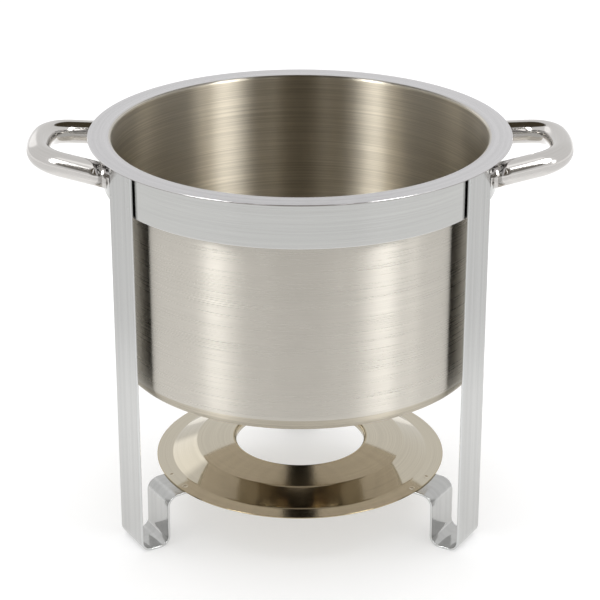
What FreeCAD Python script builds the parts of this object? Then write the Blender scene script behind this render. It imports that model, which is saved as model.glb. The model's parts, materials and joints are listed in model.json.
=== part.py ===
"""Soup kettle: a deep water pan that hangs by its rim in a three-legged stand.

The stand is a round band on three bent strip legs.  Each leg runs down to a
U-shaped foot and back up to a stamped plate that holds the fuel burner.  Two
tube handles are screwed to the band.  Millimetres, +Z up, origin on the floor
at the centre of the stand, handles along X, one leg at the back (+Y).
"""
import FreeCAD
import Part
import Sketcher
import math
import os

DRIVING_SIZES = {
    # stand
    "ring_top": 349.7,             # height of the band's upper edge
    "ring_radius": 167.85,         # outside of the band
    "ring_wall": 1.5,
    "ring_height": 40.2,
    "ring_edge": 0.6,              # rounding along both edges of the band
    # water pan
    "seat_gap": 0.3,               # rim above the band
    "pan_clearance": 5.35,         # pan's wall to the inside of the band
    "rim_overhang": 12.15,         # rim beyond the outside of the band
    "pan_wall": 1.0,
    "pan_depth": 207.9,            # rim's top to the underside of the base
    "pan_corner": 16.0,            # outside rounding between wall and base
    "rim_bend": 1.6,               # outside rounding where the wall turns into the rim
    # legs
    "leg_width": 40.0,
    "leg_strip": 2.0,              # strip thickness
    "leg_gap": 0.15,               # strip to band at its middle line
    "leg_top_drop": 0.7,           # leg's top end below the band's upper edge
    "foot_width": 28.0,            # outside width of the U foot
    "foot_bend": 9.5,              # outside radius of the foot's bends
    "shoulder_bend": 11.0,         # outside radius of the bend under the plate
    "tab_lap": 16.7,               # tab's reach under the plate
    "tab_gap": 0.1,                # tab to plate where they come closest
    "weld_radius": 2.0,
    "weld_inset": 4.0,             # welds from the leg's edges
    "weld_upper": 10.0,            # upper welds below the band's upper edge
    "weld_lower": 32.0,            # lower welds below the band's upper edge
    "weld_gap": 0.05,
    # burner plate
    "plate_inset": 13.3,           # plate's edge inside the legs' risers
    "plate_edge_height": 49.3,     # top of the plate at its outer edge
    "plate_sheet": 1.0,
    "flange_width": 14.3,          # plate's edge to the crease between flange and slope
    "flange_rise": 0.7,
    "slope_width": 21.6,           # that crease to the one round the inner disc
    "slope_rise": 10.0,
    "crown_rise": 3.5,             # slope's crease to the top of the lip
    "burner_radius": 57.3,         # opening for the fuel burner
    "lip_bend": 2.5,
    "lip_drop": 3.0,               # straight part of the lip below its bend
    # handles
    "handle_tube": 20.5,           # outside diameter
    "handle_wall": 1.2,
    "handle_drop": 19.4,           # band's upper edge to the tube's axis at the root line
    "handle_to_leg": 0.4,          # collar to the front leg's edge, along Y at the root line
    "handle_reach": 64.2,          # root line to the tube's axis at its outermost
    "handle_tilt": 8.3,            # degrees, rising outwards
    "handle_taper": 17.0,          # degrees, runs closing outwards
    "handle_corner": 32.0,         # bend radius of the two corners
    "handle_front": 120.0,         # radius of the gently curved grip
    # handle fixings
    "tube_end": 5.15,              # root line to the tube's end
    "collar_length": 3.2,
    "collar_gap": 0.1,             # band to collar, and collar to tube and plug
    "collar_proud": 0.35,          # collar's radius over the tube's
    "neck_radius": 7.5,            # collar's neck, which reaches the band beside a leg
    "plug_length": 15.0,
    "plug_gap": 0.1,               # plug to the inside of the tube
    "screw_radius": 2.5,
    "screw_set": 4.0,              # root line to where screw and tube axes cross
    "screw_reach": 12.0,           # screw's tip beyond the band
    "screw_head": 4.5,             # radius of the head
    "screw_head_height": 2.5,
    "screw_head_round": 1.2,
    "screw_gap": 0.15,             # head to band
    "screw_key": 3.0,              # across the flats of the socket
    "screw_key_depth": 1.3,
    "screw_clearance": 0.5,        # screw to the holes in band and collar
    "thread_gap": 0.05,            # screw to the tapped hole in the plug
}

SHEET = "sizes"
FULL_TURN = 360.0
FRONT_LEG_ANGLE = 30.0             # front legs from the handles' axis, for three equal spaces
LEG_AZIMUTHS = {"leg_left": 180.0 + FRONT_LEG_ANGLE, "leg_right": -FRONT_LEG_ANGLE, "leg_rear": 90.0}
CORNERS = {"left_front": (-1, -1), "left_rear": (-1, 1), "right_front": (1, -1), "right_rear": (1, 1)}

doc = FreeCAD.newDocument("soup_kettle")
sheet = doc.addObject("Spreadsheet::Sheet", SHEET)
for row, (alias, number) in enumerate(DRIVING_SIZES.items(), start=1):
    sheet.set(f"A{row}", alias)
    sheet.set(f"B{row}", str(number))
    sheet.setAlias(f"B{row}", alias)
doc.recompute()


class Size:
    """A number together with the sheet expression that gives it."""

    def __init__(self, number, text):
        self.number = number
        self.text = text

    def __add__(self, other):
        other = as_size(other)
        return Size(self.number + other.number, f"({self.text} + {other.text})")

    def __sub__(self, other):
        other = as_size(other)
        return Size(self.number - other.number, f"({self.text} - {other.text})")

    def __mul__(self, other):
        other = as_size(other)
        return Size(self.number * other.number, f"({self.text} * {other.text})")

    def __truediv__(self, other):
        other = as_size(other)
        return Size(self.number / other.number, f"({self.text} / {other.text})")

    def __neg__(self):
        return Size(-self.number, f"(0 - {self.text})")


def as_size(value):
    if isinstance(value, Size):
        return value
    return Size(float(value), str(value))


def size(alias):
    return Size(float(sheet.get(alias)), f"{SHEET}.{alias}")


def root(value):
    return Size(math.sqrt(value.number), f"sqrt({value.text})")


def sine(angle):
    return Size(math.sin(math.radians(angle.number)), f"sin({angle.text})")


def cosine(angle):
    return Size(math.cos(math.radians(angle.number)), f"cos({angle.text})")


def arctangent(ratio):
    return Size(math.degrees(math.atan(ratio.number)), f"(atan({ratio.text}) / 1 deg)")


def bind(feature, name, value):
    feature.setExpression(name, as_size(value).text)


def new_body(label):
    body = doc.addObject("PartDesign::Body", label)
    body.Label = label
    return body


def origin_plane(body, role):
    return next(item for item in body.Origin.OriginFeatures if item.Role == role)


def new_sketch(body, name, role, offset=None):
    sketch = body.newObject("Sketcher::SketchObject", name)
    sketch.AttachmentSupport = [(origin_plane(body, role), "")]
    sketch.MapMode = "FlatFace"
    if offset is not None:
        sketch.AttachmentOffset = offset
    return sketch


def fix_point(sketch, edge, end, x, y):
    """Ties one end of an edge to its place, measured from the sketch's origin."""
    for kind, axis, value in (("DistanceX", -2, as_size(x)), ("DistanceY", -1, as_size(y))):
        if value.number == 0.0:
            sketch.addConstraint(Sketcher.Constraint("PointOnObject", edge, end, axis))
        else:
            index = sketch.addConstraint(Sketcher.Constraint(kind, edge, end, value.number))
            bind(sketch, f"Constraints[{index}]", value)


def arc_between(start, end, radius, turn):
    """Short arc from start to end; turn is 1 to the left of the way, -1 to the right."""
    way = end - start
    half = way.Length / 2
    side = FreeCAD.Vector(-way.y, way.x, 0).normalize() * turn
    lift = math.sqrt(max(radius * radius - half * half, 0.0))
    centre = (start + end) / 2 + side * lift
    middle = centre - side * radius
    return Part.Arc(start, middle, end)


def draw_chain(sketch, corners, closed=True):
    """Draws edges from corner to corner.

    A corner is (x, y), with (radius, turn) after it where an arc leaves it.
    """
    points = [FreeCAD.Vector(as_size(c[0]).number, as_size(c[1]).number, 0) for c in corners]
    count = len(corners) if closed else len(corners) - 1
    for i in range(count):
        start = points[i]
        end = points[(i + 1) % len(points)]
        if len(corners[i]) > 2:
            radius = as_size(corners[i][2])
            sketch.addGeometry(arc_between(start, end, radius.number, corners[i][3]), False)
        else:
            sketch.addGeometry(Part.LineSegment(start, end), False)
    ends = []
    for i in range(count):
        backward = len(corners[i]) > 2 and corners[i][3] < 0
        ends.append((2, 1) if backward else (1, 2))
    for i in range(count):
        follower = (i + 1) % count
        if closed or follower:
            link = Sketcher.Constraint("Coincident", i, ends[i][1], follower, ends[follower][0])
            sketch.addConstraint(link)
    for i in range(count):
        fix_point(sketch, i, ends[i][0], corners[i][0], corners[i][1])
    if not closed:
        fix_point(sketch, count - 1, ends[-1][1], corners[-1][0], corners[-1][1])
    for i in range(count):
        if len(corners[i]) > 2:
            radius = as_size(corners[i][2])
            index = sketch.addConstraint(Sketcher.Constraint("Radius", i, radius.number))
            bind(sketch, f"Constraints[{index}]", radius)


def draw_box(sketch, x_low, x_high, y_low, y_high):
    draw_chain(sketch, [(x_low, y_low), (x_high, y_low), (x_high, y_high), (x_low, y_high)])


def draw_circle(sketch, x, y, radius):
    centre = FreeCAD.Vector(as_size(x).number, as_size(y).number, 0)
    circle = Part.Circle(centre, FreeCAD.Vector(0, 0, 1), as_size(radius).number)
    edge = sketch.addGeometry(circle, False)
    fix_point(sketch, edge, 3, x, y)
    index = sketch.addConstraint(Sketcher.Constraint("Radius", edge, as_size(radius).number))
    bind(sketch, f"Constraints[{index}]", radius)


def revolve(body, name, corners):
    sketch = new_sketch(body, f"{name}_profile", "XZ_Plane")
    draw_chain(sketch, corners)
    feature = body.newObject("PartDesign::Revolution", name)
    feature.Profile = sketch
    feature.ReferenceAxis = (sketch, ["V_Axis"])
    feature.Angle = FULL_TURN
    doc.recompute()
    return feature


def place_cylinder(name, radius, height, base, direction):
    """Cylinder that starts at base and runs along direction."""
    cylinder = doc.addObject("Part::Cylinder", name)
    bind(cylinder, "Radius", radius)
    bind(cylinder, "Height", height)
    turn = FreeCAD.Rotation(FreeCAD.Vector(0, 0, 1), direction)
    cylinder.Placement = FreeCAD.Placement(base, turn)
    return cylinder


def cut_away(name, base, tool):
    cut = doc.addObject("Part::Cut", name)
    cut.Base = base
    cut.Tool = tool
    return cut


# Shared positions, worked out once from the driving sizes
rim_under = size("ring_top") + size("seat_gap")
rim_top = rim_under + size("pan_wall")
ring_bottom = size("ring_top") - size("ring_height")
ring_inside = size("ring_radius") - size("ring_wall")

leg_outside = size("ring_radius") + size("leg_gap") + size("leg_strip")
riser_near = leg_outside - size("foot_width")
plate_radius = riser_near - size("plate_inset")
flange_slope = size("flange_rise") / size("flange_width")
flange_angle = arctangent(flange_slope)
plate_edge_under = size("plate_edge_height") - size("plate_sheet")

# A handle's root line crosses the band's outside where the tube's axis would meet it,
# with the collars just inside the front legs' edges
ring_square = size("ring_radius") * size("ring_radius")
tube_radius = size("handle_tube") / 2
collar_radius = tube_radius + size("collar_proud")
leg_turn = as_size(FRONT_LEG_ANGLE)
leg_edge_y = leg_outside * sine(leg_turn) - size("leg_width") / 2 * cosine(leg_turn)
handle_span = leg_edge_y - size("handle_to_leg") - collar_radius / cosine(size("handle_taper"))
handle_root = root(ring_square - handle_span * handle_span)
handle_height = size("ring_top") - size("handle_drop")
screw_hole = size("screw_radius") + size("screw_clearance")
tube_face = handle_root + size("tube_end")
collar_far = tube_face - size("collar_gap")
collar_near = collar_far - size("collar_length")


def make_water_pan():
    """One drawn piece: base, wall and flat rim."""
    body = new_body("water_pan")
    wall = size("pan_wall")
    outside = ring_inside - size("pan_clearance")
    inside = outside - wall
    rim_edge = size("ring_radius") + size("rim_overhang")
    base = rim_top - size("pan_depth")
    corner = size("pan_corner")
    bend = size("rim_bend")
    bend_inside = bend + wall
    rounded = wall / 2
    rim_middle = rim_under + rounded
    rim_face = rim_edge - rounded
    revolve(body, "pan_shell", [
        (0, base),
        (outside - corner, base, corner, 1),
        (outside, base + corner),
        (outside, rim_under - bend, bend, -1),
        (outside + bend, rim_under),
        (rim_face, rim_under, rounded, 1),
        (rim_edge, rim_middle, rounded, 1),
        (rim_face, rim_top),
        (inside + bend_inside, rim_top, bend_inside, 1),
        (inside, rim_top - bend_inside),
        (inside, base + corner, corner - wall, -1),
        (outside - corner, base + wall),
        (0, base + wall),
    ])
    return body


def make_support_ring():
    """Round band with rounded edges and four holes for the handle screws."""
    body = new_body("support_ring")
    edge = size("ring_edge")
    outside = size("ring_radius")
    top = size("ring_top")
    revolve(body, "ring_band", [
        (ring_inside + edge, ring_bottom),
        (outside - edge, ring_bottom, edge, 1),
        (outside, ring_bottom + edge),
        (outside, top - edge, edge, 1),
        (outside - edge, top),
        (ring_inside + edge, top, edge, 1),
        (ring_inside, top - edge),
        (ring_inside, ring_bottom + edge, edge, 1),
    ])
    whole = body.Shape.Volume
    for corner in CORNERS:
        azimuth, height = screw_line(corner)
        turn = FreeCAD.Rotation(FreeCAD.Vector(0, 1, 0), azimuth + 90.0)
        sketch = new_sketch(body, f"hole_{corner}_profile", "XZ_Plane",
                            FreeCAD.Placement(FreeCAD.Vector(0, 0, 0), turn))
        draw_circle(sketch, 0, height, screw_hole)
        hole = body.newObject("PartDesign::Pocket", f"hole_{corner}")
        hole.Profile = sketch
        hole.Type = "Length"
        bind(hole, "Length", size("ring_radius") + 1)
        doc.recompute()
    if len(body.Shape.Solids) != 1 or body.Shape.Volume >= whole:
        raise RuntimeError("the band's screw holes cut nothing")
    return body


def make_leg(label, azimuth):
    """Bent strip: upright, U foot, riser and a tab under the burner plate's flange."""
    body = new_body(label)
    strip = size("leg_strip")
    outside = leg_outside
    inside = outside - strip
    top = size("ring_top") - size("leg_top_drop")
    bend = size("foot_bend")
    bend_inside = bend - strip
    riser_far = riser_near + strip

    half_width = size("leg_width") / 2
    tab_end = plate_radius - size("tab_lap")
    spread = root(tab_end * tab_end + half_width * half_width) - tab_end
    edge_line = plate_edge_under - spread * flange_slope - size("tab_gap")
    shoulder = size("shoulder_bend")
    shoulder_inside = shoulder - strip
    centre_x = riser_near - shoulder_inside
    up_x = sine(flange_angle)
    up_z = cosine(flange_angle)
    tab_start_rise = (plate_radius - centre_x - shoulder * up_x) * flange_slope
    centre_z = edge_line + tab_start_rise - shoulder * up_z
    tab_end_z = edge_line + size("tab_lap") * flange_slope

    sketch = new_sketch(body, f"{label}_outline", "XZ_Plane")
    draw_chain(sketch, [
        (inside, top),
        (inside, bend, bend_inside, -1),
        (outside - bend, strip),
        (riser_near + bend, strip, bend_inside, -1),
        (riser_far, bend),
        (riser_far, centre_z, shoulder, 1),
        (centre_x + shoulder * up_x, centre_z + shoulder * up_z),
        (tab_end, tab_end_z),
        (tab_end - strip * up_x, tab_end_z - strip * up_z),
        (centre_x + shoulder_inside * up_x, centre_z + shoulder_inside * up_z, shoulder_inside, -1),
        (riser_near, centre_z),
        (riser_near, bend, bend, 1),
        (riser_near + bend, 0),
        (outside - bend, 0, bend, 1),
        (outside, bend),
        (outside, top),
    ])
    pad = body.newObject("PartDesign::Pad", f"{label}_strip")
    pad.Profile = sketch
    pad.SideType = "Symmetric"
    bind(pad, "Length", size("leg_width"))
    doc.recompute()
    strip_volume = body.Shape.Volume

    weld_offset = half_width - size("weld_inset")
    nearest = weld_offset - size("weld_radius")
    band_face = root(ring_square - nearest * nearest)
    welds = new_sketch(body, f"{label}_weld_profile", "YZ_Plane",
                       FreeCAD.Placement(FreeCAD.Vector(0, 0, inside.number), FreeCAD.Rotation()))
    bind(welds, "AttachmentOffset.Base.z", inside)
    for side in (-1, 1):
        for drop in (size("weld_upper"), size("weld_lower")):
            draw_circle(welds, weld_offset * side, size("ring_top") - drop, size("weld_radius"))
    nubs = body.newObject("PartDesign::Pad", f"{label}_welds")
    nubs.Profile = welds
    nubs.Reversed = True
    bind(nubs, "Length", inside - band_face - size("weld_gap"))
    doc.recompute()
    if len(body.Shape.Solids) != 1 or body.Shape.Volume <= strip_volume:
        raise RuntimeError(f"the welds of {label} add nothing")
    body.Placement = FreeCAD.Placement(FreeCAD.Vector(0, 0, 0),
                                       FreeCAD.Rotation(FreeCAD.Vector(0, 0, 1), azimuth))
    return body


def make_burner_plate():
    """Stamped disc: conical flange, slope, crowned inner disc and a turned-down lip."""
    body = new_body("burner_plate")
    sheet_down = size("plate_sheet")
    hole = size("burner_radius")
    bend = size("lip_bend")
    edge_z = size("plate_edge_height")
    flange_radius = plate_radius - size("flange_width")
    slope_radius = flange_radius - size("slope_width")
    flange_z = edge_z + size("flange_rise")
    slope_z = flange_z + size("slope_rise")
    crown_z = slope_z + size("crown_rise")
    lip_end = crown_z - bend - size("lip_drop")
    revolve(body, "plate_disc", [
        (plate_radius, edge_z - sheet_down),
        (plate_radius, edge_z),
        (flange_radius, flange_z),
        (slope_radius, slope_z),
        (hole + bend, crown_z, bend, 1),
        (hole, crown_z - bend),
        (hole, lip_end),
        (hole + sheet_down, lip_end),
        (hole + sheet_down, crown_z - bend, bend - sheet_down, -1),
        (hole + bend, crown_z - sheet_down),
        (slope_radius, slope_z - sheet_down),
        (flange_radius, flange_z - sheet_down),
    ])
    return body


def handle_path():
    """Half of the tube's axis in the handle's plane, from its outermost point to the root line.

    The grip arc, the corner arc and the straight run meet tangentially.
    """
    reach = size("handle_reach")
    span = handle_span
    taper = size("handle_taper")
    corner = size("handle_corner")
    front = size("handle_front")
    across = cosine(taper)
    along = sine(taper)
    start_x = -(corner * along)
    start_y = span - corner * across
    to_grip_x = start_x - (reach - front)
    half_term = to_grip_x * across - start_y * along
    spare = front - corner
    square = to_grip_x * to_grip_x + start_y * start_y - spare * spare
    step = root(half_term * half_term - square) - half_term
    centre_x = start_x + step * across
    centre_y = start_y - step * along
    away_x = (centre_x - (reach - front)) / spare
    away_y = centre_y / spare
    return [
        (reach, 0, front, 1),
        (centre_x + corner * away_x, centre_y + corner * away_y, corner, 1),
        (centre_x + corner * along, centre_y + corner * across),
        (0, span),
    ]


def make_handle(label, turn):
    """D-shaped tube, mirrored about its middle, both ends cut in one plane."""
    body = new_body(label)
    tilt = FreeCAD.Rotation(FreeCAD.Vector(0, 1, 0), -size("handle_tilt").number)
    plane = FreeCAD.Placement(
        FreeCAD.Vector(handle_root.number, 0, handle_height.number), tilt)
    path = new_sketch(body, f"{label}_path", "XY_Plane", plane)
    draw_chain(path, handle_path(), closed=False)
    tip_x = handle_root + size("handle_reach") * cosine(size("handle_tilt"))
    tip_z = handle_height + size("handle_reach") * sine(size("handle_tilt"))
    section = new_sketch(body, f"{label}_section", "XZ_Plane")
    draw_circle(section, tip_x, tip_z, tube_radius)
    draw_circle(section, tip_x, tip_z, tube_radius - size("handle_wall"))
    pipe = body.newObject("PartDesign::AdditivePipe", f"{label}_tube")
    pipe.Profile = section
    pipe.Spine = path
    doc.recompute()
    mirror = body.newObject("PartDesign::Mirrored", f"{label}_mirror")
    mirror.Originals = [pipe]
    mirror.MirrorPlane = (origin_plane(body, "XZ_Plane"), [""])
    body.Tip = mirror
    doc.recompute()
    whole = body.Shape.Volume
    trim = new_sketch(body, f"{label}_trim_profile", "XY_Plane")
    draw_box(trim, 0, tube_face, -(handle_span * 2), handle_span * 2)
    pocket = body.newObject("PartDesign::Pocket", f"{label}_trim")
    pocket.Profile = trim
    pocket.SideType = "Symmetric"
    bind(pocket, "Length", size("ring_top") * 3)
    doc.recompute()
    if len(body.Shape.Solids) != 1 or body.Shape.Volume >= whole:
        raise RuntimeError(f"the ends of {label} are not cut")
    body.Placement = FreeCAD.Placement(FreeCAD.Vector(0, 0, 0),
                                       FreeCAD.Rotation(FreeCAD.Vector(0, 0, 1), turn))
    return body


def run_point(corner, distance):
    """Point on a straight run's axis, a distance outwards from the root line."""
    side_x, side_y = CORNERS[corner]
    taper = math.radians(size("handle_taper").number)
    tilt = math.radians(size("handle_tilt").number)
    outward = distance * math.cos(taper)
    x = handle_root.number + outward * math.cos(tilt)
    y = handle_span.number - distance * math.sin(taper)
    z = handle_height.number + outward * math.sin(tilt)
    return FreeCAD.Vector(side_x * x, side_y * y, z)


def screw_line(corner):
    """Azimuth in degrees and height of the radial line that a handle screw lies on."""
    cross = run_point(corner, size("screw_set").number)
    return math.degrees(math.atan2(cross.y, cross.x)), cross.z


def screw_bore(corner, name, radius):
    """Radial cylinder for a screw hole through collar or plug."""
    azimuth, height = screw_line(corner)
    angle = math.radians(azimuth)
    direction = FreeCAD.Vector(math.cos(angle), math.sin(angle), 0)
    base = direction * ring_inside.number + FreeCAD.Vector(0, 0, height)
    return place_cylinder(name, radius, size("screw_reach") * 3, base, direction)


def run_bar(name, corner, radius):
    """Solid bar along the axis of a straight run, longer than the pieces cut from it."""
    start = run_point(corner, -size("handle_tube").number)
    direction = (run_point(corner, 1) - run_point(corner, 0)).normalize()
    return place_cylinder(name, radius, size("handle_tube") * 4, start, direction)


def slice_bar(name, corner, radius, near, far):
    """The part of a run's bar between two planes across X."""
    side_x, side_y = CORNERS[corner]
    slab = doc.addObject("Part::Box", f"{name}_slab")
    bind(slab, "Length", far - near)
    bind(slab, "Width", handle_span * 2)
    bind(slab, "Height", size("ring_top") * 2)
    start_x = near.number if side_x > 0 else -far.number
    start_y = 0.0 if side_y > 0 else -2 * handle_span.number
    slab.Placement.Base = FreeCAD.Vector(start_x, start_y, 0)
    piece = doc.addObject("Part::Common", name)
    piece.Base = run_bar(f"{name}_bar", corner, radius)
    piece.Tool = slab
    return piece


def make_collar(corner):
    """Collar as wide as the tube, with a neck that meets the round band."""
    label = f"handle_collar_{corner}"
    collar = slice_bar(f"{label}_rim", corner, collar_radius, collar_near, collar_far)
    neck = slice_bar(f"{label}_neck", corner, size("neck_radius"), collar_near / 2, collar_near)
    whole = doc.addObject("Part::Fuse", f"{label}_whole")
    whole.Base = collar
    whole.Tool = neck
    whole.Refine = True
    up = FreeCAD.Vector(0, 0, 1)
    low = FreeCAD.Vector(0, 0, 0)
    band = place_cylinder(f"{label}_band", size("ring_radius") + size("collar_gap"),
                          size("ring_top") * 2, low, up)
    seated = cut_away(f"{label}_seated", whole, band)
    piece = cut_away(f"{label}_piece", seated, screw_bore(corner, f"{label}_bore", screw_hole))
    piece.Label = label
    return piece


def make_plug(corner):
    """Solid end inside the tube, tapped for the screw."""
    label = f"handle_plug_{corner}"
    radius = tube_radius - size("handle_wall") - size("plug_gap")
    bar = slice_bar(f"{label}_blank", corner, radius, tube_face, tube_face + size("plug_length"))
    tapped = size("screw_radius") + size("thread_gap")
    piece = cut_away(f"{label}_piece", bar, screw_bore(corner, f"{label}_bore", tapped))
    piece.Label = label
    return piece


def make_screw(corner):
    """Button-head socket screw, its axis radial, its head inside the band."""
    label = f"handle_screw_{corner}"
    body = new_body(label)
    head = size("screw_head")
    high = size("screw_head_height")
    rounded = size("screw_head_round")
    shank = size("screw_radius")
    tip = high + size("screw_gap") + size("ring_wall") + size("screw_reach")
    revolve(body, f"{label}_turned", [
        (0, 0),
        (head - rounded, 0, rounded, 1),
        (head, rounded),
        (head, high),
        (shank, high),
        (shank, tip - shank / 4),
        (shank * 3 / 4, tip),
        (0, tip),
    ])
    turned = body.Shape.Volume
    key = new_sketch(body, f"{label}_key_profile", "XY_Plane")
    across_corners = size("screw_key") / root(as_size(3))
    half = across_corners / 2
    flat = size("screw_key") / 2
    draw_chain(key, [
        (across_corners, 0),
        (half, flat),
        (-half, flat),
        (-across_corners, 0),
        (-half, -flat),
        (half, -flat),
    ])
    socket = body.newObject("PartDesign::Pocket", f"{label}_key")
    socket.Profile = key
    socket.Reversed = True
    bind(socket, "Length", size("screw_key_depth"))
    doc.recompute()
    if body.Shape.Volume >= turned:
        raise RuntimeError(f"the socket of {label} cuts nothing")
    azimuth, height = screw_line(corner)
    angle = math.radians(azimuth)
    direction = FreeCAD.Vector(math.cos(angle), math.sin(angle), 0)
    start = ring_inside.number - size("screw_gap").number - high.number
    base = direction * start + FreeCAD.Vector(0, 0, height)
    body.Placement = FreeCAD.Placement(base, FreeCAD.Rotation(FreeCAD.Vector(0, 0, 1), direction))
    return body


def build():
    nodes = [make_water_pan(), make_support_ring(), make_burner_plate()]
    for label, azimuth in LEG_AZIMUTHS.items():
        nodes.append(make_leg(label, azimuth))
    nodes.append(make_handle("handle_right", 0.0))
    nodes.append(make_handle("handle_left", 180.0))
    for corner in CORNERS:
        nodes.append(make_collar(corner))
        nodes.append(make_plug(corner))
        nodes.append(make_screw(corner))
    doc.recompute()
    return nodes


def check(nodes):
    for item in doc.Objects:
        if "Invalid" in item.State or "Error" in item.State:
            raise RuntimeError(f"{item.Name} failed: {item.State}")
    for node in nodes:
        if node.Shape.isNull() or not node.Shape.isValid() or len(node.Shape.Solids) != 1:
            raise RuntimeError(f"{node.Label} is not one valid solid")


def write(nodes):
    os.makedirs("parts", exist_ok=True)
    for node in nodes:
        node.Shape.exportStep(f"parts/{node.Label}.step")
        box = node.Shape.optimalBoundingBox(False)
        print(f"{node.Label:28s} volume {node.Shape.Volume:10.1f}  "
              f"x {box.XMin:7.1f} {box.XMax:7.1f}  y {box.YMin:7.1f} {box.YMax:7.1f}  "
              f"z {box.ZMin:6.1f} {box.ZMax:6.1f}")


all_nodes = build()
check(all_nodes)
write(all_nodes)
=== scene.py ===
"""Soup kettle on its buffet stand: camera, studio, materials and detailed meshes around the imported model."""
import json
import math

import bmesh
import bpy
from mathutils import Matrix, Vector


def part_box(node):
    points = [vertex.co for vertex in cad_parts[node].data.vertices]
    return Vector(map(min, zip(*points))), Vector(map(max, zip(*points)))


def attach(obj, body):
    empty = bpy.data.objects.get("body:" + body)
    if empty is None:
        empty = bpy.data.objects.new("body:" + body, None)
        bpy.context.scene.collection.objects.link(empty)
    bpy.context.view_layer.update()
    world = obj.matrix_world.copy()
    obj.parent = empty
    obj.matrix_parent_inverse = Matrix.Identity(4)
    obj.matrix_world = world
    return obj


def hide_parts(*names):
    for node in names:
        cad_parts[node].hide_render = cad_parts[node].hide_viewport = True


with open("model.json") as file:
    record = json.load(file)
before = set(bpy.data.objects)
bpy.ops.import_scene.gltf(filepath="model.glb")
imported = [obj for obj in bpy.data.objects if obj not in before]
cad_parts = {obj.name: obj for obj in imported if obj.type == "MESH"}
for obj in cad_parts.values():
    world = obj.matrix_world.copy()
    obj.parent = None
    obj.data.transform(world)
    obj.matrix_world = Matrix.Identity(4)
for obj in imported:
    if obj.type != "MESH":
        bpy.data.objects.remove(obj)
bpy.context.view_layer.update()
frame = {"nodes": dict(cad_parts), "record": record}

# ---------------------------------------------------------------- sizes, in metres, and angles in degrees

# Camera, floor and surroundings
CAMERA_PITCH = 23.04               # looking down
CAMERA_DISTANCE = 1.8694
CAMERA_LENS = 127.9                # millimetres, as is the sensor
CAMERA_SENSOR = 36.0
CAMERA_CLIP = 60.0
LOOK_HEIGHT = 0.1953
FLOOR_HALF = 9.0
FLOOR_TONE = 0.6
FLOOR_GLOW = 0.45
WORLD_STRENGTH = 0.83

# Points that lights and boards face, and tints of the boards
MIDDLE = (0, 0, 0.25)
MOUTH = (0, 0, 0.3)
BACK_WALL = (0, 0.15, 0.3)
WHITE = (1, 1, 1)
AMBER = (1, 0.8, 0.5)
CREAM = (1, 0.94, 0.86)

# Water pan
PAN_WALL = 0.001
PAN_CORNER = 0.016                 # outside rounding between wall and base
PAN_BEND = 0.0016                  # outside rounding where the wall turns into the rim
RIM_ROUNDING = PAN_WALL * 0.45     # both edges of the rim's cut end
RIM_FINISH = PAN_WALL * 0.6        # rim's finish starts this far beyond the bend
SHADOW_LINE_DROP = PAN_WALL * 0.4        # painted shadow line: the dark finish on the rim's outer edge starts this far below the rim's top
# Face classes of the pan; the base, the inside and the rim's lower outer edge carry painted shade.
OUTSIDE, RIM, SHADED_BASE, SHADED_INSIDE, RIM_SHADOW_LINE = range(5)

# Band
BAND_WALL = 0.0015
BAND_EDGE = 0.0006

# Burner plate's profile, from its edge inwards
PLATE_SHEET = 0.001
PLATE_EDGE = PLATE_SHEET * 0.3
FLANGE_WIDTH = 0.0143
FLANGE_RISE = 0.0007
SLOPE_WIDTH = 0.0216
SLOPE_RISE = 0.0100
CROWN_RISE = 0.0035
CREASE = 0.0044                    # rounding of the creases on either side of the slope
LIP_BEND = 0.0025
LIP_DROP = 0.003
LIP_SPARE = 0.0002                 # sharp corner of the lip above its rounded top

# Legs, each with its direction off +X
LEGS = {"leg_left": 210.0, "leg_right": 330.0, "leg_rear": 90.0}
STRIP = 0.002
STRIP_EDGE = 0.00035
FOOT_WIDTH = 0.028
FOOT_BEND = 0.0095                 # outside radius, as is the shoulder's
SHOULDER_BEND = 0.011
TAB_GAP = 0.0001
CUT_BREAK = 0.0002                 # how far a cut end is drawn in, at most CUT_SHARE of the way
CUT_SHARE = 0.05

# Handles
HANDLE_TUBE = 0.0205               # outside diameter
HANDLE_WALL = 0.0012
HANDLE_DROP = 0.0194               # band's upper edge to the tube's axis where it would meet the band
HANDLE_SPAN = 0.05619              # middle plane to that point
HANDLE_TILT = math.radians(8.3)    # rising outwards
HANDLE_TAPER = math.radians(17)    # runs closing outwards
HANDLE_CORNER = 0.032              # bend radius of the corners
HANDLE_FRONT = 0.12                # radius of the gently curved grip
TUBE_END = 0.00515                 # from that point out to the tube's end

# Spot-weld marks: a dish with a low lip round it
WELD_RADIUS = 0.0019
WELD_DEPTH = 0.00028
WELD_LIP = 0.00006
WELD_LIP_WIDTH = WELD_RADIUS * 0.3
WELD_REACH = 0.0045                # outer end of the heat tint
WELD_STEP = 0.0005
WELD_ACROSS = 0.016                # marks on a leg, from its middle line
WELD_DROPS = (0.0093, 0.0313)      # and below the band's upper edge
WELD_SHIFT = {"leg_left": -0.0015, "leg_right": -0.0025, "leg_rear": 0.001}
PLATE_WELD_IN = 0.0052             # marks on the plate, from its edge
PLATE_WELD_APART = 0.0129          # and from each leg's middle line
PLATE_WELD_SHIFT = {"leg_left": 0.0, "leg_right": -0.0045, "leg_rear": 0.002}

# Mesh fineness
ARC_STEP = math.radians(10)
ARC_LEAST = 2
FLAT_CORNER = math.radians(89.9)   # half of a corner's angle from which it counts as straight
GUARD = 0.0004                     # rows that hold the shading flat, from a straight run's ends
SHORT_RUN = GUARD * 4
RUN_STEP = 0.008
TURN_SEGMENTS = 256
STRIP_COLUMNS = 5                  # on each side of a leg's middle line
STRIP_EDGE_STEPS = 3
STRIP_EDGE_TURN = 90 / STRIP_EDGE_STEPS
GRIP_STEPS = 12
CORNER_STEPS = 16
TUBE_SIDES = 48
WORN_RADIUS = 0.0026               # roundings smaller than this are worn bright
MERGE = 1e-7
TOLERANCE = 1e-6
PRESS_TOLERANCE = 0.0001

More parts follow.
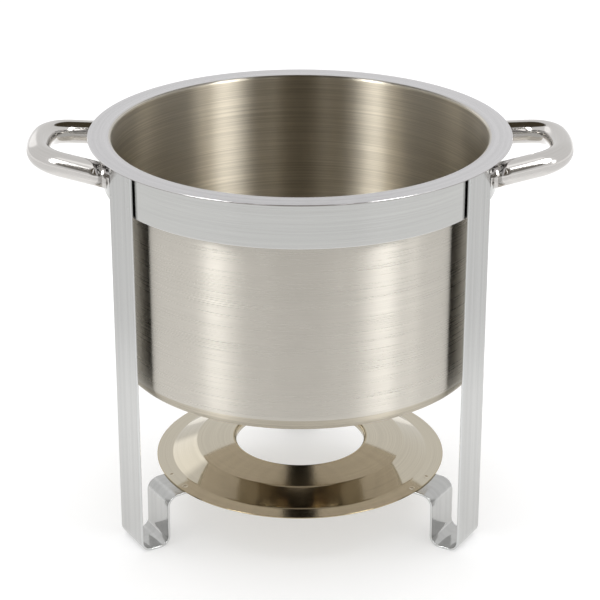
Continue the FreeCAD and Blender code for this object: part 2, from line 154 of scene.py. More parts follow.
# Broken edges of the pieces that keep their CAD meshes
FITTING_BEVEL = 0.00025
FITTING_BEVEL_ROWS = 3
FITTING_BEVEL_ANGLE = math.radians(35)

# Steel's noises, each a scale, a detail and a roughness
HAIRLINES = (1.0, 2.0, 0.6)
BROAD_LINES = (0.08, 1.0, 0.5)
CLOUDS = (14.0, 3.0, 0.6)
HANDLING = (60.0, 4.0, 0.62)
CAST_HANDLING = (240.0, 4.0, 0.6)

# Parts of a noise's height, or of the heat, over which an effect grows
CLOUD_SPAN = (0.3, 0.7)
LINE_SPAN = (0.35, 0.65)
SWING_SPAN = (0.2, 0.8)
SMUDGE_SPAN = (0.5, 0.75)
CAST_SPAN = (0.3, 0.75)
HEAT_DULL_SPAN = (0.5, 0.7)

# Strengths of those effects
CLOUD_TONE = 0.96
BROAD_TONE = 0.9
CAST_SMOOTHEST = 0.8               # shares of a small part's roughness
CAST_ROUGHEST = 1.5
CAST_BUMP = 0.05
WEAR_SHARE = 0.7
WEAR_SMOOTHNESS = 0.8
BUMP_HEIGHT = 0.0002

# Tints round a spot weld, as heat and colour, from the sheet's own colour to the middle
HEAT_TINTS = (
    (0.25, (1, 1, 1)),
    (0.45, (0.93, 0.86, 0.72)),
    (0.58, (0.42, 0.27, 0.17)),
    (0.68, (0.18, 0.15, 0.15)),
    (0.85, (0.55, 0.52, 0.5)),
)
HEAT_DULLING = 0.25


def turned(angle):
    """Unit direction in plan, from an angle in degrees off +X."""
    return Vector((math.cos(math.radians(angle)), math.sin(math.radians(angle)), 0.0))


def mount_radius(name):
    """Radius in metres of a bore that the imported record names."""
    found = next(mount for mount in frame["record"]["mounts"] if mount["name"] == name)
    return found["dims"]["r_mm"] / 1000


# ---------------------------------------------------------------- outlines


def arc_points(corner, before, after, radius):
    """The arc that rounds a corner of an outline, from one straight run to the next."""
    back = (before - corner).normalized()
    ahead = (after - corner).normalized()
    half = back.angle(ahead) / 2
    if radius <= 0 or half > FLAT_CORNER:
        return [corner]
    reach = radius / math.tan(half)
    centre = corner + (back + ahead).normalized() * (radius / math.sin(half))
    start = corner + back * reach - centre
    sweep = math.pi - 2 * half
    side = 1 if back.x * ahead.y - back.y * ahead.x < 0 else -1
    steps = max(ARC_LEAST, math.ceil(sweep / ARC_STEP))
    points = []
    for i in range(steps + 1):
        a = side * sweep * i / steps
        c, s = math.cos(a), math.sin(a)
        points.append(centre + Vector((start.x * c - start.y * s, start.x * s + start.y * c)))
    return points


def spaced(start, end):
    """Points inside a straight run: one near each end, and an even row between."""
    length = (end - start).length
    if length < SHORT_RUN:
        return []
    rows = max(1, math.ceil(length / RUN_STEP))
    shares = [GUARD / length] + [i / rows for i in range(1, rows)] + [1 - GUARD / length]
    return [start.lerp(end, share) for share in shares]


def outline(corners, closed=True):
    """Points (x, y, wear) of an outline given as corners (x, y, rounding radius)."""
    count = len(corners)
    arcs = []
    for i, (x, y, radius) in enumerate(corners):
        here = Vector((x, y))
        if not closed and i in (0, count - 1):
            arcs.append([here])
            continue
        before = Vector(corners[i - 1][:2])
        after = Vector(corners[(i + 1) % count][:2])
        arcs.append(arc_points(here, before, after, radius))
    points = []
    for i, arc in enumerate(arcs):
        wear = 1.0 if 0 < corners[i][2] < WORN_RADIUS else 0.0
        points += [(p.x, p.y, wear) for p in arc]
        if closed or i < count - 1:
            points += [(p.x, p.y, 0.0) for p in spaced(arc[-1], arcs[(i + 1) % count][0])]
    return points


def with_detail(values, centres, reach=WELD_REACH, step=WELD_STEP):
    """Sorted positions, with a fine row of them round each centre."""
    kept = [v for v in values if all(abs(v - c) > reach for c in centres)]
    fine = round(reach / step)
    added = [c + step * i for c in centres for i in range(-fine, fine + 1)]
    return sorted(kept + added)


def fine_radii(points, radius):
    """Adds points along an outline near a radius, so that a weld mark there is round."""
    result = []
    for here, after in zip(points, points[1:] + points[:1]):
        result.append(here)
        a, b = Vector(here), Vector(after)
        length = math.hypot(b.x - a.x, b.y - a.y)
        near = min(abs(here[0] - radius), abs(after[0] - radius)) < WELD_REACH
        spans = (here[0] - radius) * (after[0] - radius) < 0
        if near or spans:
            count = math.ceil(length / WELD_STEP)
            result += [tuple(a.lerp(b, i / count)) for i in range(1, count)]
    return result


# ---------------------------------------------------------------- meshes


def grid_piece(name, rows, wrap_rows, wrap_columns, caps=False):
    """A mesh of quads from rows of points. A point is (position, run, across, wear, heat)."""
    work = bmesh.new()
    layers = [work.verts.layers.float.new(key) for key in ("run", "across", "wear", "heat")]
    made = []
    for row in rows:
        line = []
        for point in row:
            vert = work.verts.new(point[0])
            for layer, value in zip(layers, point[1:]):
                vert[layer] = value
            line.append(vert)
        made.append(line)
    columns = len(made[0])
    for i in range(len(made) if wrap_rows else len(made) - 1):
        low, high = made[i], made[(i + 1) % len(made)]
        for j in range(columns if wrap_columns else columns - 1):
            k = (j + 1) % columns
            work.faces.new((low[j], low[k], high[k], high[j]))
    if caps:
        work.faces.new(made[0][::-1])
        work.faces.new(made[-1])
    bmesh.ops.remove_doubles(work, verts=work.verts, dist=MERGE)
    bmesh.ops.recalc_face_normals(work, faces=work.faces)
    mesh = bpy.data.meshes.new(name)
    work.to_mesh(mesh)
    work.free()
    mesh.shade_smooth()
    piece = bpy.data.objects.new(name, mesh)
    bpy.context.scene.collection.objects.link(piece)
    return piece


def even_angles():
    return [360.0 * i / TURN_SEGMENTS for i in range(TURN_SEGMENTS)]


def lathe(name, points, angles, closed=True, press=None):
    """Turns an outline of (radius, height, wear) about Z. press moves a point and gives its heat tint."""
    rows = []
    run = 0.0
    previous = points[0]
    for radius, height, wear in points:
        run += math.hypot(radius - previous[0], height - previous[1])
        previous = (radius, height)
        row = []
        for angle in angles:
            place = turned(angle) * radius + Vector((0, 0, height))
            heat = 0.0
            if press:
                place, heat = press(place)
            row.append((place, run, 0.0, wear, heat))
        rows.append(row)
    return grid_piece(name, rows, closed, True)


def weld_shape(distance):
    """Depth below the surface and heat tint at a distance from a spot weld's middle."""
    if distance > WELD_REACH:
        return 0.0, 0.0
    dish = WELD_DEPTH * max(0.0, 1 - (distance / WELD_RADIUS) ** 2)
    lip = WELD_LIP * math.exp(-(((distance - WELD_RADIUS) / WELD_LIP_WIDTH) ** 2))
    return dish - lip, 1 - distance / WELD_REACH


def finish_piece(piece, body, node, slot, *materials):
    """Gives a piece its materials, puts it under its body's empty and hides the CAD node it stands for. The
    slot is not used.
    """
    for material in materials:
        piece.data.materials.append(material)
    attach(piece, body)
    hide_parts(node)


# ---------------------------------------------------------------- the parts


def pan_finish(place, low, high, inside):
    """Which of the pan's materials a face has, from its middle."""
    radius = math.hypot(place.x, place.y)
    # The underside takes the darker painted-shade steel.
    if place.z < low.z + PAN_WALL / 2:
        return SHADED_BASE
    # The lower part of the rim's outer edge gets the near-black painted shadow line, for the shade in the gap
    # between the rim and the band.
    if radius > high.x - RIM_ROUNDING and place.z < high.z - SHADOW_LINE_DROP:
        return RIM_SHADOW_LINE
    if radius > inside + PAN_BEND + RIM_FINISH:
        return RIM
    # Inside faces take the darker painted-shade copy of the brushed steel.
    if radius < inside + PAN_WALL / 2:
        return SHADED_INSIDE
    return OUTSIDE


def make_pan():
    low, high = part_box("water_pan")
    inside = mount_radius("inset_pan_well")
    outside = inside + PAN_WALL
    points = outline([
        (0.0, low.z, 0),
        (outside, low.z, PAN_CORNER),
        (outside, high.z - PAN_WALL, PAN_BEND),
        (high.x, high.z - PAN_WALL, RIM_ROUNDING),
        (high.x, high.z, RIM_ROUNDING),
        (inside, high.z, PAN_BEND + PAN_WALL),
        (inside, low.z + PAN_WALL, PAN_CORNER - PAN_WALL),
        (0.0, low.z + PAN_WALL, 0),
    ], closed=False)
    piece = lathe("water_pan_shell", points, even_angles(), closed=False)
    finish_piece(piece, "pan", "water_pan", "pan_steel", *pan_steels())
    for face in piece.data.polygons:
        face.material_index = pan_finish(face.center, low, high, inside)


def make_band():
    low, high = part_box("support_ring")
    outside = high.x
    inside = outside - BAND_WALL
    points = outline([
        (inside, low.z, BAND_EDGE),
        (outside, low.z, BAND_EDGE),
        (outside, high.z, BAND_EDGE),
        (inside, high.z, BAND_EDGE),
    ])
    piece = lathe("support_band", points, even_angles())
    finish_piece(piece, "stand", "support_ring", "band_steel", band_steel())


def make_plate():
    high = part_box("burner_plate")[1]
    edge = high.x
    hole = mount_radius("burner_opening")
    crown = high.z
    slope = crown - CROWN_RISE
    flange = slope - SLOPE_RISE
    edge_z = flange - FLANGE_RISE
    flange_r = edge - FLANGE_WIDTH
    slope_r = flange_r - SLOPE_WIDTH
    top = [
        (edge, edge_z, PLATE_EDGE),
        (flange_r, flange, CREASE),
        (slope_r, slope, CREASE),
        (hole, crown + LIP_SPARE, LIP_BEND),
        (hole, crown - LIP_BEND - LIP_DROP, PLATE_EDGE),
    ]
    under = [
        (hole + PLATE_SHEET, crown - LIP_BEND - LIP_DROP, PLATE_EDGE),
        (hole + PLATE_SHEET, crown - PLATE_SHEET + LIP_SPARE, LIP_BEND - PLATE_SHEET),
        (slope_r, slope - PLATE_SHEET, CREASE),
        (flange_r, flange - PLATE_SHEET, CREASE),
        (edge, edge_z - PLATE_SHEET, PLATE_EDGE),
    ]
    weld_radius = edge - PLATE_WELD_IN
    welds = []
    for leg, azimuth in LEGS.items():
        for side in (-1, 1):
            away = math.degrees((side * PLATE_WELD_APART + PLATE_WELD_SHIFT[leg]) / weld_radius)
            welds.append(azimuth + away)
    spots = [turned(a) * weld_radius for a in welds]
    degrees = math.degrees(1 / weld_radius)
    angles = with_detail(even_angles(), welds, WELD_REACH * degrees, WELD_STEP * degrees)

    def press(place):
        """The marks lie on the flange's upper side."""
        if place.z > flange or place.z < edge_z - PRESS_TOLERANCE or place.length < flange_r:
            return place, 0.0
        flat = Vector((place.x, place.y, 0.0))
        depth, heat = weld_shape(min((flat - spot).length for spot in spots))
        return place - Vector((0, 0, depth)), heat

    points = fine_radii(outline(top + under), weld_radius)
    piece = lathe("burner_plate_disc", points, angles, press=press)
    finish_piece(piece, "stand", "burner_plate", "plate_steel", plate_steel())


def leg_path():
    """The middle of the bent strip in a leg's own plane, as (distance from the Z axis, height)."""
    low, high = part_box("leg_rear")
    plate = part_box("burner_plate")[1]
    half = STRIP / 2
    upright = high.y - half
    riser = high.y - FOOT_WIDTH + half
    slope = FLANGE_RISE / FLANGE_WIDTH
    tilt = math.atan(slope)
    tab_end = low.y + STRIP * math.sin(tilt)
    width = high.x - low.x
    under = plate.z - CROWN_RISE - SLOPE_RISE - FLANGE_RISE - PLATE_SHEET
    dip = (math.hypot(tab_end, width / 2) - tab_end) * slope
    middle = under - dip - TAB_GAP - half / math.cos(tilt)
    shoulder = (riser, middle + (plate.x - riser) * slope, SHOULDER_BEND - half)
    end = (tab_end - half * math.sin(tilt), middle + (plate.x - tab_end) * slope, 0)
    bend = FOOT_BEND - half
    corners = [(upright, high.z, 0), (upright, half, bend), (riser, half, bend), shoulder, end]
    return outline(corners, closed=False)


def strip_section(columns, flat):
    """A strip's cross-section as (across, deep, wear), with its outer face first."""
    face = STRIP / 2
    deep = face - STRIP_EDGE

    def worn_edge(across, deep, start):
        turns = [math.radians(start - STRIP_EDGE_TURN * i) for i in range(STRIP_EDGE_STEPS + 1)]
        return [(across + STRIP_EDGE * math.cos(a), deep + STRIP_EDGE * math.sin(a), 1.0) for a in turns]

    return (
        [(c, face, 0.0) for c in columns]
        + worn_edge(flat, deep, 90)
        + worn_edge(flat, -deep, 0)
        + [(c, -face, 0.0) for c in columns[::-1]]
        + worn_edge(-flat, -deep, 270)
        + worn_edge(-flat, deep, 180)
    )


def shrunk(row):
    """A cut end's row, drawn in a little towards its middle, which leaves a fine broken edge."""
    middle = sum((point[0] for point in row), Vector()) / len(row)
    side = (row[0][0] - row[len(row) // 2][0]).length
    return [(p[0].lerp(middle, min(CUT_SHARE, CUT_BREAK / side)), *p[1:]) for p in row]


def make_leg(name, azimuth, material):
    path = [Vector(point[:2]) for point in leg_path()]
    low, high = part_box("leg_rear")
    band_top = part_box("support_ring")[1].z
    weld_z = [band_top - drop for drop in WELD_DROPS]
    weld_y = [WELD_ACROSS * side + WELD_SHIFT[name] for side in (-1, 1)]
    upright = path[0].x
    straight = [p.y for p in path if abs(p.x - upright) < TOLERANCE]
    levels = with_detail(straight, weld_z)[::-1]
    path = [Vector((upright, z)) for z in levels] + [p for p in path if abs(p.x - upright) >= TOLERANCE]
    flat = (high.x - low.x) / 2 - STRIP_EDGE
    columns = [i / STRIP_COLUMNS * flat for i in range(-STRIP_COLUMNS, STRIP_COLUMNS + 1)]
    columns = [c for c in with_detail(columns, weld_y) if abs(c) <= flat]
    section = strip_section(columns, flat)
    radial = turned(azimuth)
    side = Vector((-radial.y, radial.x, 0.0))
    rows = []
    run = 0.0
    for i, here in enumerate(path):
        before = path[max(i - 1, 0)]
        after = path[min(i + 1, len(path) - 1)]
        run += (here - before).length
        along = (after - before).normalized()
        out = Vector((-along.y, along.x))
        outward = radial * out.x + Vector((0, 0, out.y))
        middle = radial * here.x + Vector((0, 0, here.y))
        row = []
        for across, deep, wear in section:
            push, heat = 0.0, 0.0
            if i < len(levels) and deep > STRIP / 2 - TOLERANCE:
                spot = min(math.hypot(across - y, here.y - z) for y in weld_y for z in weld_z)
                push, heat = weld_shape(spot)
            place = middle + side * across + outward * (deep - push)
            row.append((place, run, across, wear, heat))
        rows.append(row)
    rows = [shrunk(rows[0])] + rows + [shrunk(rows[-1])]
    piece = grid_piece(name + "_strip", rows, False, True, caps=True)
    finish_piece(piece, "stand", name, "leg_steel", material)


def arc_row(centre, radius, start, end, steps):
    """Points of an arc between two angles in radians, both ends included."""
    turns = [start + (end - start) * i / steps for i in range(steps + 1)]
    return [centre + Vector((math.cos(a), math.sin(a))) * radius for a in turns]


def handle_axis():
    """The tube's axis in the handle's own plane, as (distance out, sideways), from its middle to one end."""
    root = math.sqrt(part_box("support_ring")[1].x ** 2 - HANDLE_SPAN**2)
    reach = (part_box("handle_right")[1].x - HANDLE_TUBE / 2 - root) / math.cos(HANDLE_TILT)
    across, along = math.cos(HANDLE_TAPER), math.sin(HANDLE_TAPER)
    start = Vector((-HANDLE_CORNER * along, HANDLE_SPAN - HANDLE_CORNER * across))
    grip = Vector((reach - HANDLE_FRONT, 0.0))
    to_grip = start.x - grip.x
    half_term = to_grip * across - start.y * along
    spare = HANDLE_FRONT - HANDLE_CORNER
    step = math.sqrt(half_term**2 - (to_grip**2 + start.y**2 - spare**2)) - half_term
    centre = start + Vector((across, -along)) * step
    join = math.atan2(centre.y, centre.x - grip.x)
    points = arc_row(grip, HANDLE_FRONT, 0.0, join, GRIP_STEPS)
    points += arc_row(centre, HANDLE_CORNER, join, math.pi / 2 - HANDLE_TAPER, CORNER_STEPS)[1:]
    last = points[-1]
    cut = TUBE_END / math.cos(HANDLE_TILT)
    end = Vector((cut, HANDLE_SPAN - cut * math.tan(HANDLE_TAPER)))
    steps = int((end - last).length / RUN_STEP)
    points += [last.lerp(end, i / steps) for i in range(1, steps + 1)]
    return root, points


def make_handle(name, side, material):
    root, half = handle_axis()
    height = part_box("support_ring")[1].z - HANDLE_DROP
    flat = [Vector((p.x, -p.y)) for p in half[:0:-1]] + half
    tilt = Vector((math.cos(HANDLE_TILT), 0, math.sin(HANDLE_TILT)))
    axis = [tilt * p.x + Vector((root, p.y, height)) for p in flat]
    up = Vector((-math.sin(HANDLE_TILT), 0, math.cos(HANDLE_TILT)))
    face = root + TUBE_END
    walls = []
    for radius in (HANDLE_TUBE / 2, HANDLE_TUBE / 2 - HANDLE_WALL):
        run = 0.0
        rings = []
        for i, here in enumerate(axis):
            before = axis[max(i - 1, 0)]
            after = axis[min(i + 1, len(axis) - 1)]
            along = (after - before).normalized()
            run += (here - before).length
            out = up.cross(along).normalized()
            ring = []
            for j in range(TUBE_SIDES):
                a = 2 * math.pi * j / TUBE_SIDES
                place = here + out * (radius * math.cos(a)) + up * (radius * math.sin(a))
                if i in (0, len(axis) - 1):
                    place = place + along * ((face - place.x) / along.x)
                ring.append((Vector((place.x * side, place.y, place.z)), run, a, 0.0, 0.0))
            rings.append(ring)
        walls.append(rings)
    outer, inner = walls
    piece = grid_piece(name + "_tube", outer + inner[::-1], True, True)
    finish_piece(piece, "stand", name, "handle_steel", material)


def finish_fittings():
    """Collars, plugs and screws keep their CAD meshes, with their sharp edges broken."""
    collar = cast_steel("collar_polished_steel", base=(0.6, 0.58, 0.56), rough=0.08)
    screw = cast_steel("screw_steel", base=(0.5, 0.49, 0.48), rough=0.22)
    for name, node in frame["nodes"].items():
        if not name.startswith("handle_") or name in ("handle_left", "handle_right"):
            continue
        node.data.materials.clear()
        node.data.materials.append(collar if "collar" in name else screw)
        weld = node.modifiers.new("weld", "WELD")
        weld.merge_threshold = TOLERANCE
        bevel = node.modifiers.new("bevel", "BEVEL")
        bevel.width = FITTING_BEVEL
        bevel.segments = FITTING_BEVEL_ROWS
        bevel.limit_method = "ANGLE"
        bevel.angle_limit = FITTING_BEVEL_ANGLE
        bevel.harden_normals = True


# ---------------------------------------------------------------- materials


class Shader:
    """A material's nodes. An input that is a socket is linked, and any other input is set."""

    def __init__(self, name):
        self.material = bpy.data.materials.new(name)
        self.material.use_nodes = True
        self.tree = self.material.node_tree
        self.surface = self.tree.nodes["Principled BSDF"]

    def put(self, socket, value):
        if isinstance(value, bpy.types.NodeSocket):
            self.tree.links.new(value, socket)
        else:
            socket.default_value = value

    def add(self, kind, inputs, output=0, **settings):
        node = self.tree.nodes.new("ShaderNode" + kind)
        for key, value in settings.items():
            setattr(node, key, value)
        for key, value in inputs.items():
            self.put(node.inputs[key], value)
        return node.outputs[output]

    def math(self, operation, first, second):
        return self.add("Math", {0: first, 1: second}, operation=operation)

    def attribute(self, name):
        return self.add("Attribute", {}, output="Fac", attribute_name=name)

    def position(self):
        return self.add("TexCoord", {}, output="Object")

    def split_position(self):
        return self.add("SeparateXYZ", {"Vector": self.position()}).node.outputs

    def vector(self, x, y, z):
        return self.add("CombineXYZ", {0: x, 1: y, 2: z})

    def noise(self, vector, scale, detail, roughness):
        inputs = {"Vector": vector, "Scale": scale, "Detail": detail, "Roughness": roughness}
        return self.add("TexNoise", inputs)

    def span(self, value, low, high, new_low=0.0, new_high=1.0, kind="LINEAR"):
        inputs = {"Value": value, "From Min": low, "From Max": high, "To Min": new_low, "To Max": new_high}
        return self.add("MapRange", inputs, interpolation_type=kind)

    def mix(self, share, first, second, blend="MIX"):
        node = self.tree.nodes.new("ShaderNodeMix")
        node.data_type = "RGBA"
        node.blend_type = blend
        for key, value in {"Factor": share, "A": first, "B": second}.items():
            self.put(next(s for s in node.inputs if s.name == key and s.enabled), value)
        return next(s for s in node.outputs if s.enabled)

    def bump(self, height, strength):
        return self.add("Bump", {"Height": height, "Strength": strength, "Distance": BUMP_HEIGHT})

    def finish(self, **inputs):
        for key, value in inputs.items():
            self.put(self.surface.inputs[key.replace("_", " ")], value)
        return self.material


def colour(red, green, blue, tone=1.0):
    """A colour with its alpha, darkened or lightened by a tone."""
    return (*(min(1.0, c * tone) for c in (red, green, blue)), 1.0)


def ring_grain(around, pitch):
    """Fine lines that run round the Z axis: around is their rate per metre along, pitch the rate across."""
    def lines(shader):
        place = shader.split_position()
        x = shader.math("MULTIPLY", place[0], around)
        y = shader.math("MULTIPLY", place[1], around)
        return shader.vector(x, y, shader.math("MULTIPLY", shader.attribute("run"), pitch))

    return lines


def strip_grain(along, pitch):
    """Fine lines that run along a bent strip or tube."""
    def lines(shader):
        run = shader.math("MULTIPLY", shader.attribute("run"), along)
        across = shader.math("MULTIPLY", shader.attribute("across"), pitch)
        return shader.vector(across, run, 0.0)

    return lines


def steel(name, grain, base, worn, rough, swing, smudge, bump, bands=0.6, lines_tone=1.08):
    """Stainless steel, as a shader and its surface inputs.

    Hairlines lighten the base colour, swing the roughness and raise the surface. Broad bands, smudges and
    worn edges lie over them.
    """
    shader = Shader(name)
    lines = grain(shader)
    fine = shader.noise(lines, *HAIRLINES)
    broad = shader.noise(lines, *BROAD_LINES)
    cloud = shader.noise(shader.position(), *CLOUDS)
    hand = shader.noise(shader.position(), *HANDLING)
    tone = shader.mix(shader.span(cloud, *CLOUD_SPAN), colour(*base, CLOUD_TONE), colour(*base))
    tone = shader.mix(shader.span(fine, *LINE_SPAN), tone, colour(*base, lines_tone))
    tone = shader.mix(shader.span(broad, *LINE_SPAN, 0.0, bands), tone, colour(*base, BROAD_TONE))
    wear = shader.attribute("wear")
    tone = shader.mix(shader.math("MULTIPLY", wear, WEAR_SHARE), tone, colour(*worn))
    along_lines = shader.span(fine, *SWING_SPAN, rough - swing, rough + swing)
    smudged = shader.math("ADD", along_lines, shader.span(hand, *SMUDGE_SPAN, 0.0, smudge))
    roughness = shader.math("MULTIPLY", smudged, shader.span(wear, 0.0, 1.0, 1.0, WEAR_SMOOTHNESS))
    return shader, {
        "Base_Color": tone,
        "Roughness": roughness,
        "Normal": shader.bump(fine, bump),
        "Metallic": 1.0,
    }


def heat_tinted(shader, inputs):
    """Straw and brown rings round each spot weld, with a dull grey middle."""
    heat = shader.attribute("heat")
    ramp = shader.tree.nodes.new("ShaderNodeValToRGB")
    stops = ramp.color_ramp.elements
    for i, (place, tint) in enumerate(HEAT_TINTS):
        stop = stops[i] if i < len(stops) else stops.new(place)
        stop.position = place
        stop.color = colour(*tint)
    shader.put(ramp.inputs[0], heat)
    inputs["Base_Color"] = shader.mix(1.0, inputs["Base_Color"], ramp.outputs[0], "MULTIPLY")
    dull = shader.span(heat, *HEAT_DULL_SPAN, 0.0, HEAT_DULLING)
    inputs["Roughness"] = shader.math("ADD", inputs["Roughness"], dull)
    return shader.finish(**inputs)


def brushed_steel(name, grain, base, rough, lines_tone):
    """The pan's sheet. Its grain stretches each reflection across the hairlines."""
    shader, inputs = steel(name, grain, base=base, worn=(0.68, 0.67, 0.65), rough=rough, swing=0.05,
                           smudge=0.02, bump=0.2, bands=0.15, lines_tone=lines_tone)
    tangent = shader.add("Tangent", {}, direction_type="RADIAL", axis="Z")
    return shader.finish(**inputs, Anisotropic=1.0, Anisotropic_Rotation=0.25, Tangent=tangent)


def pan_steels():
    """The pan's materials, in the order of its face classes: outside, rim, base, inside and the rim's lower
    outer edge. The base, the inside and that edge are darkened with painted shade.
    """
    outside = brushed_steel("pan_brushed_steel", ring_grain(6.0, 1200.0), base=(0.59, 0.56, 0.505),
                            rough=0.29, lines_tone=1.07)
    rim, rim_inputs = steel("rim_satin_steel", ring_grain(10.0, 2400.0), base=(0.66, 0.65, 0.66),
                            worn=(0.72, 0.71, 0.71), rough=0.2, swing=0.03, smudge=0.03, bump=0.04)
    # Painted shade: the pan's underside is given a darker, warmer base than its outside, for the shade under
    # the pan that the burner plate mirrors.
    base, shaded_base_inputs = steel("pan_base_shaded_steel", ring_grain(10.0, 900.0), base=(0.48, 0.43, 0.36),
                              worn=(0.5, 0.47, 0.42), rough=0.14, swing=0.03, smudge=0.05, bump=0.02)
    # Painted shade: the inside is the same sheet as the outside, given a darker and more olive base for the
    # dimness inside the pan.
    inside = brushed_steel("pan_inside_shaded_steel", ring_grain(8.0, 1300.0), base=(0.47, 0.43, 0.355),
                           rough=0.36, lines_tone=1.3)
    # Painted shadow line: near-black steel on the rim's lower outer edge stands for the shade in the gap
    # between the rim and the band.
    cut, shadow_line_inputs = steel("rim_painted_shadow_line", ring_grain(30.0, 3000.0), base=(0.16, 0.14, 0.13),
                            worn=(0.3, 0.28, 0.27), rough=0.35, swing=0.05, smudge=0.05, bump=0.1)
    return outside, rim.finish(**rim_inputs), base.finish(**shaded_base_inputs), inside, cut.finish(**shadow_line_inputs)


def band_steel():
    shader, inputs = steel("band_satin_steel", ring_grain(10.0, 3200.0), base=(0.58, 0.58, 0.565),
                           worn=(0.72, 0.72, 0.71), rough=0.15, swing=0.03, smudge=0.03, bump=0.04,
                           bands=0.25)
    return shader.finish(**inputs)


def leg_steel():
    shader, inputs = steel("leg_satin_steel", strip_grain(14.0, 2400.0), base=(0.53, 0.53, 0.52),
                           worn=(0.70, 0.71, 0.71), rough=0.13, swing=0.03, smudge=0.03, bump=0.05)
    return heat_tinted(shader, inputs)


def plate_steel():
    shader, inputs = steel("plate_bronze_steel", ring_grain(7.0, 1800.0), base=(0.56, 0.51, 0.41),
                           worn=(0.42, 0.34, 0.2), rough=0.06, swing=0.015, smudge=0.03, bump=0.01,
                           bands=0.2)
    return heat_tinted(shader, inputs)


def handle_steel():
    shader, inputs = steel("handle_polished_steel", strip_grain(30.0, 40.0), base=(0.62, 0.60, 0.58),
                           worn=(0.7, 0.68, 0.66), rough=0.1, swing=0.01, smudge=0.03, bump=0.004,
                           bands=0.0)
    return shader.finish(**inputs)


def cast_steel(name, base, rough):
    """Polished small parts, which have no grain."""
    shader = Shader(name)
    hand = shader.noise(shader.position(), *CAST_HANDLING)
    tone = shader.mix(shader.span(hand, *CLOUD_SPAN), colour(*base, BROAD_TONE), colour(*base))
    roughness = shader.span(hand, *CAST_SPAN, rough * CAST_SMOOTHEST, rough * CAST_ROUGHEST)
    normal = shader.bump(hand, CAST_BUMP)
    return shader.finish(Base_Color=tone, Roughness=roughness, Metallic=1.0, Normal=normal)


# ---------------------------------------------------------------- studio


def make_camera():
    """A long lens that looks down on the kettle from the front."""
    data = bpy.data.cameras.new("camera")
    data.lens = CAMERA_LENS
    data.sensor_width = CAMERA_SENSOR
    data.clip_end = CAMERA_CLIP
    camera = bpy.data.objects.new("camera", data)
    pitch = math.radians(CAMERA_PITCH)
    back = Vector((0.0, -math.cos(pitch), math.sin(pitch)))
    camera.location = Vector((0.0, 0.0, LOOK_HEIGHT)) + back * CAMERA_DISTANCE
    camera.rotation_euler = (-back).to_track_quat("-Z", "Y").to_euler()
    bpy.context.scene.collection.objects.link(camera)
    bpy.context.scene.camera = camera


def flat_sheet(name, w, h):
    """A level rectangle that reaches w and h to each side of its middle."""
    mesh = bpy.data.meshes.new(name)
    mesh.from_pydata([(-w, -h, 0), (w, -h, 0), (w, h, 0), (-w, h, 0)], [], [(0, 1, 2, 3)])
    return bpy.data.objects.new(name, mesh)


def make_floor():
    floor = flat_sheet("floor", FLOOR_HALF, FLOOR_HALF)
    bpy.context.scene.collection.objects.link(floor)
    floor.data.materials.append(Shader("floor_paper").finish(
        Base_Color=colour(*WHITE, FLOOR_TONE),
        Roughness=0.9,
        Specular_IOR_Level=0.1,
        Emission_Color=colour(*WHITE),
        Emission_Strength=FLOOR_GLOW,
    ))


def make_world():
    world = bpy.data.worlds.new("studio")
    bpy.context.scene.world = world
    world.use_nodes = True
    background = world.node_tree.nodes["Background"]
    background.inputs["Color"].default_value = colour(*WHITE)
    background.inputs["Strength"].default_value = WORLD_STRENGTH


def hang(thing, azimuth, elevation, distance, target):
    """Places a light or panel that faces the target. Azimuth 0 is the camera's side, 90 the right."""
    a, e = math.radians(azimuth), math.radians(elevation)
    away = Vector((math.sin(a) * math.cos(e), -math.cos(a) * math.cos(e), math.sin(e)))
    place = Vector(target) + away * distance
    thing.location = place
    thing.rotation_euler = (Vector(target) - place).to_track_quat("-Z", "Y").to_euler()
    thing.visible_camera = False
    bpy.context.scene.collection.objects.link(thing)


def softbox(name, azimuth, elevation, distance, width, height, radiance, target):
    """A rectangular area light that the metal does not mirror."""
    data = bpy.data.lights.new(name, "AREA")
    data.shape = "RECTANGLE"
    data.size = width
    data.size_y = height
    data.energy = radiance * math.pi * width * height
    light = bpy.data.objects.new(name, data)
    light.visible_glossy = False
    hang(light, azimuth, elevation, distance, target)


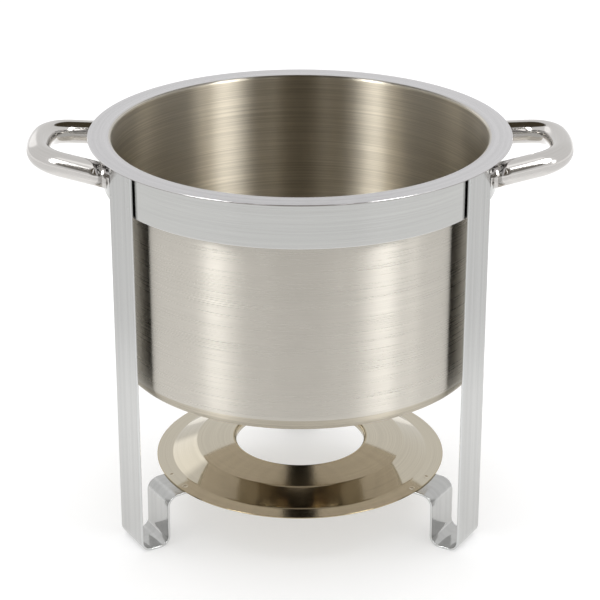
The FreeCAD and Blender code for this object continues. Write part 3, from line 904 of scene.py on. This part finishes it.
def board(name, azimuth, elevation, distance, size, radiance, feather, tint=WHITE, target=MIDDLE):
    """A feathered oval panel that only the metal mirrors. It glows, or is dark when its radiance is low."""
    w, h = size[0] / 2, size[1] / 2
    panel = flat_sheet(name, w, h)
    panel.visible_diffuse = False
    panel.visible_shadow = False
    hang(panel, azimuth, elevation, distance, target)
    shader = Shader(name + "_panel")
    place = shader.split_position()
    squares = [shader.math("POWER", shader.math("DIVIDE", place[axis], half), 2.0)
               for axis, half in (("X", w), ("Y", h))]
    shape = shader.span(shader.math("ADD", *squares), (1 - feather) ** 2, 1.0, 1.0, 0.0, "SMOOTHSTEP")
    panel.data.materials.append(shader.finish(
        Base_Color=colour(0, 0, 0),
        Roughness=1.0,
        Specular_IOR_Level=0.0,
        Emission_Color=colour(*tint),
        Emission_Strength=radiance,
        Alpha=shape,
    ))


def make_boards():
    """Bright and dark shapes for the metal to mirror, each by its azimuth, elevation, distance and size."""
    board("overhead", 0, 80, 2.4, (2.6, 1.6), radiance=1.2, feather=0.4)
    board("pan_shade", 0, 90, 0.35, (0.36, 0.6), radiance=0.06, feather=0.2, tint=AMBER, target=BACK_WALL)
    board("near_shade", 0, 42, 0.58, (0.6, 0.56), radiance=0.08, feather=0.15, tint=AMBER, target=MOUTH)
    board("right_sliver", 21, 36, 0.54, (0.03, 0.4), radiance=3.0, feather=0.3, target=MOUTH)
    board("left_sliver", -19, 36, 0.54, (0.04, 0.4), radiance=2.2, feather=0.3, target=MOUTH)
    board("front_canopy", 0, 30, 2.4, (4.8, 2.7), radiance=0.2, feather=0.25, tint=CREAM)
    board("right_strip", 53, 38, 2.0, (0.72, 1.3), radiance=13.0, feather=0.25)
    board("left_strip", -53, 38, 2.0, (0.6, 1.3), radiance=13.0, feather=0.25)
    board("right_low", 67, 14, 2.0, (0.4, 0.9), radiance=2.8, feather=0.35)
    board("back_left_low", -147, 18, 3.0, (1.9, 2.0), radiance=1.25, feather=0.4)
    board("floor_card", 0, 90, 0.004, (3.6, 1.5), radiance=0.88, feather=0.45, target=(0, -1.0, 0))
    board("floor_card_right", 0, 90, 0.006, (1.5, 3.4), radiance=0.92, feather=0.3, target=(1.1, 0.0, 0))
    board("floor_card_left", 0, 90, 0.008, (1.5, 3.4), radiance=0.92, feather=0.3, target=(-1.1, 0.0, 0))


make_camera()
bpy.context.scene.view_settings.view_transform = "Standard"
make_world()
make_floor()
softbox("floor_light", 180, 90, 2.5, width=3.5, height=3.5, radiance=1.0, target=(0, 0.5, 0))
make_boards()

make_pan()
make_band()
make_plate()
leg_finish = leg_steel()
for leg_name, leg_azimuth in LEGS.items():
    make_leg(leg_name, leg_azimuth, leg_finish)
handle_finish = handle_steel()
make_handle("handle_right", 1, handle_finish)
make_handle("handle_left", -1, handle_finish)
finish_fittings()
